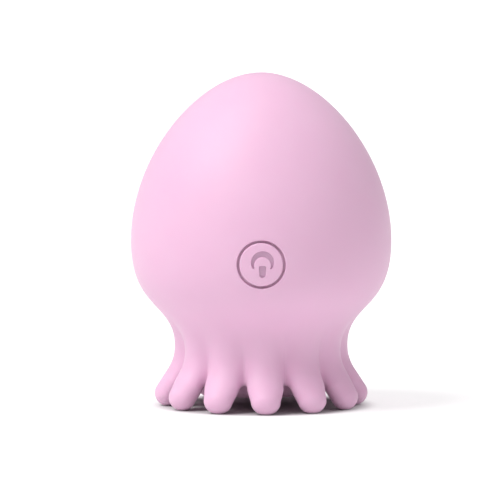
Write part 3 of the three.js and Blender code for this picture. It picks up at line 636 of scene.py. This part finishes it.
def openingPatch(block, facing, height, halfLength, halfHeight, lip, floorAt):
    # from the border of a block of the grid inwards: over the egg to the opening, round its lip, down
    # its wall, and across its floor to the middle
    border = np.concatenate([block[0, :-1], block[:-1, -1], block[-1, :0:-1], block[:0:-1, 0], block[:1, 0]])
    x, z = border[:, 0], border[:, 2] - height
    directions = np.arctan2(z, x)
    rows = [border]
    outerX, outerZ = roundLoop(directions, halfLength + lip, halfHeight + lip)
    for share in np.linspace(0, 1, grid["eggRows"] + 1)[1:]:
        rowX, rowZ = x + (outerX - x) * share, z + (outerZ - z) * share
        rows.append(np.stack([rowX, eggSurface(rowX, rowZ + height, facing), rowZ + height], axis=-1))
    for turn in quarterTurn(grid["edgeRows"]):
        grow = lip * (1 - math.sin(turn))
        rowX, rowZ = roundLoop(directions, halfLength + grow, halfHeight + grow)
        depth = lip * (1 - math.cos(turn))
        y = eggSurface(rowX, rowZ + height, facing) - facing * depth
        rows.append(np.stack([rowX, y, rowZ + height], axis=-1))
    wallX, wallZ = roundLoop(directions, halfLength, halfHeight)
    lastY = rows[-1][:, 1]
    foot = min(wallFoot, 0.5 * np.abs(floorAt(wallX, wallZ + height) - lastY).min())
    for share in (0.5, 1.0):
        y = lastY + (floorAt(wallX, wallZ + height) + facing * foot - lastY) * share
        rows.append(np.stack([wallX, y, wallZ + height], axis=-1))
    for turn in quarterTurn(grid["footRows"]):
        shrink = foot * (1 - math.cos(turn))
        rowX, rowZ = roundLoop(directions, halfLength - shrink, halfHeight - shrink)
        y = floorAt(rowX, rowZ + height) + facing * foot * (1 - math.sin(turn))
        rows.append(np.stack([rowX, y, rowZ + height], axis=-1))
    for share in (0.8, 0.6, 0.4, 0.2, 0.0):
        y = floorAt(rowX * share, rowZ * share + height)
        rows.append(np.stack([rowX * share, y, rowZ * share + height], axis=-1))
    return np.stack(rows)


def blockAround(azimuth, halfWidth, low, high):
    # first and last row and column of the part of the upper grid that an opening needs
    heights = upperGrid[:, 0, 2]
    inRows = np.flatnonzero((heights <= high) & (heights >= low))
    offsets = (azimuths - azimuth + math.pi) % (2 * math.pi) - math.pi
    inColumns = np.flatnonzero(np.abs(offsets) * eggRadius <= halfWidth)
    return inRows[0], inRows[-1], inColumns[0], inColumns[-1]


def buttonFloor(x, z):
    return eggSurface(x, z, -1) + button["floor"]


def pocketFloor(x, z):
    return np.full(np.shape(x), pocket["floor"])


blocks, openingGrids = [], []
for facing, azimuth, halfLength, halfHeight, item, floorAt in [
    (-1, 0.0, button["hole"], button["hole"], button, buttonFloor),
    (1, math.pi, pocket["halfLength"], pocket["halfHeight"], pocket, pocketFloor),
]:
    reach = halfHeight + item["margin"]
    top, bottom, left, right = blockAround(azimuth, halfLength + item["margin"],
                                           item["height"] - reach, item["height"] + reach)
    blocks.append((top, bottom, left, right))
    openingGrids.append(openingPatch(upperGrid[top : bottom + 1, left : right + 1], facing, item["height"],
                                     halfLength, halfHeight, item["lip"], floorAt))

upperPoints, upperFaces = facesOf(upperGrid)
faceRow, faceColumn = np.divmod(np.arange(len(upperFaces)), columns)
solid = np.ones(len(upperFaces), bool)
for top, bottom, left, right in blocks:
    solid &= ~((faceRow >= top) & (faceRow < bottom) & (faceColumn >= left) & (faceColumn < right))
print("openings worked out")


def coverRecess():
    # the skin's edge round the cover, its wall, and the floor that the cover sits on
    lip = cover["lip"]
    profile = [(lipRadius, lipHeight)]
    for turn in quarterTurn(5):
        profile.append((lipRadius - lip * math.sin(turn), lipHeight + lip * (1 - math.cos(turn))))
    wall, roof = lipRadius - lip, cover["top"] + cover["clearance"]
    profile += [(wall, cover["wallMiddle"]), *[(wall * share, roof) for share in (1, 0.66, 0.33, 0)]]
    profile = np.array(profile)
    return turnOut(profile[:, 0][:, None], azimuths[None], profile[:, 1][:, None])


mantleGrids = [(upperPoints, upperFaces[solid]), *openingGrids, coverRecess()]
tentacleAzimuths = [tentacle["phase"] + i * sector for i in range(tentacle["count"])]
for azimuth in tentacleAzimuths:
    for patch in (ridgeGrid, undersideGrid, closingFan(ringLoop)):
        mantleGrids.append(turnedTo(patch, azimuth))

mantle = makePiece("siliconeMantle", mantleGrids, skinMaterial)


shading = {"within": 0.004, "cover": 1e-3}  # mm from the skin, and out from the cover's edge


def setSkinNormals(piece):
    # low on the skin the shading follows the field itself, so that the joins between the mantle and
    # the tentacles do not show
    mesh = piece.data
    normals = np.empty(len(mesh.vertices) * 3)
    mesh.vertex_normals.foreach_get("vector", normals)
    normals = normals.reshape(-1, 3)
    points = meshPoints(mesh)
    radius, z = np.hypot(points[:, 0], points[:, 1]), points[:, 2]
    around = np.arctan2(points[:, 0], -points[:, 1])
    fold = (around - tentacle["phase"] + sector / 2) % sector - sector / 2
    local = np.stack([radius * np.cos(fold), radius * np.sin(fold), z], axis=-1)
    near = np.flatnonzero((z < grid["ridgeStart"]) & (radius > lipRadius - shading["cover"]))
    near = near[np.abs(skinField(local[near])) < shading["within"]]
    slope = fieldSlope(local[near])
    slope /= np.linalg.norm(slope, axis=-1, keepdims=True)
    back = around[near] - fold[near]
    normals[near] = np.stack([slope[:, 0] * np.sin(back) + slope[:, 1] * np.cos(back),
                              slope[:, 1] * np.sin(back) - slope[:, 0] * np.cos(back), slope[:, 2]], axis=-1)
    mesh.normals_split_custom_set_from_vertices(normals.tolist())


setSkinNormals(mantle)
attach(mantle, "body")
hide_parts("skin_mantle")
print("mantle made:", len(mantle.data.polygons), "faces")


def tentacleGrid():
    # rows of closed loops from the ring at the root to an ellipse across the finger, and then
    # smaller and smaller ones over the round tip
    outerAngles = swing / (math.pi / 2) * tentacle["rootSide"]
    innerAngles = math.pi + (math.pi - tentacle["rootSide"]) * swing[::-1] / (-math.pi / 2)
    angles = np.concatenate([outerAngles, innerAngles])
    rows = [ringLoop]
    loopSide = ringLoop[:, 1]
    loopAcross = (ringLoop[:, 0] - tipOut) * out[0] + (ringLoop[:, 2] - tipUp) * out[1]
    loopAlong = (ringLoop[:, 0] - tipOut) * down[0] + (ringLoop[:, 2] - tipUp) * down[1]
    for share in np.linspace(0, 1, grid["rootRows"] + 1)[1:]:
        along = loopAlong * (1 - share)
        wider = min(-rootAlong * (1 - share), tentacle["wideningEnd"])
        width = tentacle["width"] + tentacle["widening"] * wider
        settle = smoothStep(share / tentacle["rootSettle"])
        side = loopSide + (width * np.sin(angles) - loopSide) * settle
        across = loopAcross + (tentacle["depth"] * np.cos(angles) - loopAcross) * settle
        rows.append(ontoSkin(acrossTentacle(along, side, across)))
    for turn in quarterTurn(grid["tipRows"]):
        side = tentacle["width"] * math.cos(turn) * np.sin(angles)
        across = tentacle["depth"] * math.cos(turn) * np.cos(angles)
        rows.append(ontoSkin(acrossTentacle(tentacle["depth"] * math.sin(turn), side, across)))
    rows[-1][:] = rows[-1].mean(axis=0)
    return np.stack(rows)


fingerGrid = tentacleGrid()
for i, azimuth in enumerate(tentacleAzimuths):
    node = f"tentacle_{i + 1:02d}"
    finger = makePiece(f"siliconeTentacle{i + 1:02d}",
                       [turnedTo(fingerGrid, azimuth), turnedTo(closingFan(ringLoop), azimuth)],
                       skinMaterial)
    setSkinNormals(finger)
    start = turnedTo(acrossTentacle(rootAlong + tentacle["bendStart"], 0.0, 0.0), azimuth) * mm
    end = turnedTo(acrossTentacle(rootAlong + tentacle["bendEnd"], 0.0, 0.0), azimuth) * mm
    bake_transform(finger)
    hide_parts(node)
print("tentacles made:", len(finger.data.polygons), "faces each")


icon = {
    "across": 0.3,  # the sign stands a little beside and above the button's middle
    "outer": (2.64, 0.52),  # radius and height of the two circles that make the crescent
    "inner": (1.95, -0.18),
    "opening": -0.98,  # height at which the crescent is cut off
    "tipEdge": 0.15,  # rounding of the crescent's tips
    "cutEdge": 0.3,
    "barTop": -0.3,
    "barBottom": -3.05,
    "barCorner": 0.6,
    "barHalf": (0.87, 0.65),  # half its width, above and below
    "depth": 0.5,
    "wall": 0.14,  # width of the slope at the sign's edge
    "maskMargin": 0.2,
}


def iconDistance(x, z):
    # distance outside the power sign: a crescent that opens downwards, and a bar with a round foot
    x = x - icon["across"]
    outside = np.hypot(x, z - icon["outer"][1]) - icon["outer"][0]
    inside = icon["inner"][0] - np.hypot(x, z - icon["inner"][1])
    crescent = smoothMax(smoothMax(outside, inside, icon["tipEdge"]), icon["opening"] - z, icon["cutEdge"])
    share = np.clip((icon["barTop"] - z) / (icon["barTop"] - icon["barBottom"]), 0, 1)
    half = icon["barHalf"][0] + (icon["barHalf"][1] - icon["barHalf"][0]) * share
    foot = icon["barBottom"] + icon["barHalf"][1]
    bar = np.hypot(x, np.minimum(z - foot, 0)) - half
    bar = smoothMax(bar, z - icon["barTop"], icon["barCorner"])
    return np.minimum(crescent, bar)


def iconMask(x, z):
    # 1 within the sign and 0 outside it, with a slope at its edge
    return smoothStep(0.5 - iconDistance(x, z) / icon["wall"])


def buttonCap():
    # a round cap that follows the egg, rings by rays; the power sign is pressed into it
    edge = button["edge"]
    turn = np.linspace(0, 2 * math.pi, button["rays"] + 1)
    reach = np.linspace(0, button["radius"] - edge, button["rings"] + 1)[:, None]
    x, z = reach * np.sin(turn), reach * np.cos(turn)
    press = icon["depth"] * iconMask(x, z)
    face = np.stack([x, eggSurface(x, z + button["height"], -1) + press, z + button["height"]], axis=-1)
    rows = [face]
    for bend in quarterTurn(grid["edgeRows"]):
        radius = button["radius"] - edge * (1 - math.sin(bend))
        x, z = radius * np.sin(turn), radius * np.cos(turn)
        y = eggSurface(x, z + button["height"], -1) + edge * (1 - math.cos(bend))
        rows.append(np.stack([x, y, z + button["height"]], axis=-1)[None])
    for share in (1.0, 0.75, 0.5, 0.25, 0.0):
        x, z = button["radius"] * share * np.sin(turn), button["radius"] * share * np.cos(turn)
        y = eggSurface(x, z + button["height"], -1) + button["back"]
        rows.append(np.stack([x, y, z + button["height"]], axis=-1)[None])
    return np.concatenate(rows)


cap = makePiece("siliconeButton", [buttonCap()], buttonMaterial)
capPoints = meshPoints(cap.data)
# painted shade: this mask, kept to the sign's recess, says where the button's colour is darkened in place of
# the shade there
mask = iconMask(capPoints[:, 0], capPoints[:, 2] - button["height"])
capDepth = capPoints[:, 1] - eggSurface(capPoints[:, 0], capPoints[:, 2], -1)
mask *= capDepth < icon["depth"] + icon["maskMargin"]
cap.data.attributes.new("paintedIconShade", "FLOAT", "POINT").data.foreach_set("value", mask)
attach(cap, "power_button")
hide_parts("button_cap")
print("button made")


def latheAlongZ(profile, rays):
    profile = np.array(profile)
    turn = np.linspace(0, 2 * math.pi, rays + 1)
    return turnOut(profile[:, 0][:, None], turn[None], profile[:, 1][:, None])


def coverOutline():
    # from the middle below, round both edges, to the middle above
    radius, low, high = cover["radius"], cover["bottom"], cover["top"]
    edge, topEdge = cover["edge"], cover["topEdge"]
    bends = np.linspace(0, math.pi / 2, 6)
    lower = [(radius - edge + edge * math.sin(b), low + edge - edge * math.cos(b)) for b in bends]
    upper = [(radius - topEdge + topEdge * math.cos(b), high - topEdge + topEdge * math.sin(b))
             for b in bends]
    middle = (radius - edge) / 2
    return [(0, low), (middle, low), *lower, *upper, (middle, high), (0, high)]


baseCover = makePiece("siliconeBaseCover", [latheAlongZ(coverOutline(), cover["rays"])],
                      skinMaterial)
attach(baseCover, "body")
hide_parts("base_cover")


contact = {
    "radius": 2.2,
    "edge": 0.3,  # radius of the face's edge
    "flat": 1.0,
    "shoulder": 27.0,  # place along Y at which the shank steps down
    "tail": 1.2,
    "rays": 72,
}


def contactStud(low, high):
    # a gold-plated stud: a flat face with a small round edge, a shank, and a thinner tail
    middle = (low + high) / 2
    radius, edge, shoulder, tail = contact["radius"], contact["edge"], contact["shoulder"], contact["tail"]
    face, end = high[1], low[1]
    bends = np.linspace(0, math.pi / 2, 6)
    edges = [(radius - edge + edge * math.sin(b), face - edge + edge * math.cos(b)) for b in bends]
    profile = np.array([(0, face), (contact["flat"], face), *edges, (radius, shoulder), (tail, shoulder),
                        (tail, end), (0, end)])
    turn = np.linspace(0, 2 * math.pi, contact["rays"] + 1)
    r, y = profile[:, 0][:, None], profile[:, 1][:, None]
    x = middle[0] + r * np.sin(turn)
    z = middle[2] + r * np.cos(turn)
    return np.stack([x, np.broadcast_to(y, x.shape), z], axis=-1)


for name, node, corners in [("goldContactLeft", "charge_contact_left", contacts[0]),
                            ("goldContactRight", "charge_contact_right", contacts[1])]:
    stud = makePiece(name, [contactStud(*corners)], finishOf["contact_gold"])
    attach(stud, "body")
    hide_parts(node)
print("cover and contacts made")


view = {
    "elevation": math.radians(5.6),
    "distance": 4.0,
    "width": 0.1165,  # m across the picture at the object
    "target": (-0.0026, 0.0, 0.0363),
}
camera = bpy.data.objects.new("studioCamera", bpy.data.cameras.new("studioCamera"))
camera.location = (
    view["target"][0],
    -view["distance"] * math.cos(view["elevation"]),
    view["target"][2] + view["distance"] * math.sin(view["elevation"]),
)
camera.rotation_euler = (math.pi / 2 - view["elevation"], 0, 0)
camera.data.lens = camera.data.sensor_width * view["distance"] / view["width"]
camera.data.clip_start, camera.data.clip_end = 0.05, 40
bpy.context.scene.collection.objects.link(camera)
bpy.context.scene.camera = camera
bpy.context.scene.view_settings.view_transform = "Standard"

studio = {
    "keyColour": "fffdfd",
    "keyPower": 2.4,  # a broad softbox far away to the upper left, so the ground is lit evenly too
    "keySpread": math.radians(34),
    "keyTurn": math.radians(63),  # from the front towards the left
    "keyRise": math.radians(55),
    "ground": "bcbcbc",
    "groundRoughness": 0.9,
    "groundGloss": 0.1,
    "paintedGroundGlow": 0.6,  # painted light: the ground glows, which keeps the shadows beside the object pale, and the glow is left out under it, a painted shadow there: mm from the middle where the glow begins
    "glowFrom": 21.0,  # but is masked under it: mm from the middle where the glow begins
    "glowFull": 28.0,
    "groundHalf": 6.0,  # m
    # brightness of the room by height, as (sine of the height, brightness): a pale strip along the
    # horizon behind the table, dimmer walls and a bright ceiling
    "room": [(0.0, 1.0), (0.05, 1.0), (0.09, 0.09), (1.0, 1.0)],
}
keyLamp = bpy.data.lights.new("keySoftbox", "SUN")
keyLamp.energy, keyLamp.angle = studio["keyPower"], studio["keySpread"]
keyLamp.color = linear(studio["keyColour"])[:3]
key = bpy.data.objects.new("keySoftbox", keyLamp)
key.rotation_euler = (math.pi / 2 - studio["keyRise"], 0, -studio["keyTurn"])
bpy.context.scene.collection.objects.link(key)

world = bpy.data.worlds.new("paleStudio")
world.use_nodes = True
worldTree = world.node_tree
direction = addNode(worldTree, "ShaderNodeTexCoord").outputs["Generated"]
rise = addNode(worldTree, "ShaderNodeSeparateXYZ", None, {"Vector": direction}).outputs["Z"]
roomRamp = addNode(worldTree, "ShaderNodeValToRGB", None, {"Fac": rise})
roomStops = roomRamp.color_ramp.elements
while len(roomStops) < len(studio["room"]):
    roomStops.new(0.5)
for stop, (place, brightness) in zip(roomStops, studio["room"]):
    stop.position, stop.color = place, (brightness, brightness, brightness, 1.0)
worldTree.links.new(roomRamp.outputs["Color"], worldTree.nodes["Background"].inputs["Color"])
bpy.context.scene.world = world

groundHalf = studio["groundHalf"]
groundCorners = [(x * groundHalf, y * groundHalf, 0) for x, y in ((-1, -1), (1, -1), (1, 1), (-1, 1))]
groundMesh = bpy.data.meshes.new("studioGround")
groundMesh.from_pydata(groundCorners, [], [(0, 1, 2, 3)])
ground = bpy.data.objects.new("studioGround", groundMesh)
bpy.context.scene.collection.objects.link(ground)
groundMaterial, groundTree, groundShader = newMaterial("groundWithPaintedGlowAndShadow")
groundShader.inputs["Base Color"].default_value = linear(studio["ground"])
groundShader.inputs["Roughness"].default_value = studio["groundRoughness"]
groundShader.inputs["Specular IOR Level"].default_value = studio["groundGloss"]
groundShader.inputs["Emission Color"].default_value = linear("ffffff")
# painted light: the ground's glow rises with distance from the middle, so that a painted shadow lies under
# the object
onGround = addNode(groundTree, "ShaderNodeTexCoord").outputs["Object"]
fromMiddle = addNode(groundTree, "ShaderNodeVectorMath", {"operation": "LENGTH"}, {0: onGround})
glow = addNode(groundTree, "ShaderNodeMapRange",
               {"interpolation_type": "SMOOTHSTEP", "From Min": studio["glowFrom"] * mm,
                "From Max": studio["glowFull"] * mm, "To Max": studio["paintedGroundGlow"]},
               {"Value": fromMiddle.outputs["Value"]})
groundTree.links.new(glow.outputs["Result"], groundShader.inputs["Emission Strength"])
groundMesh.materials.append(groundMaterial)
print("studio set")
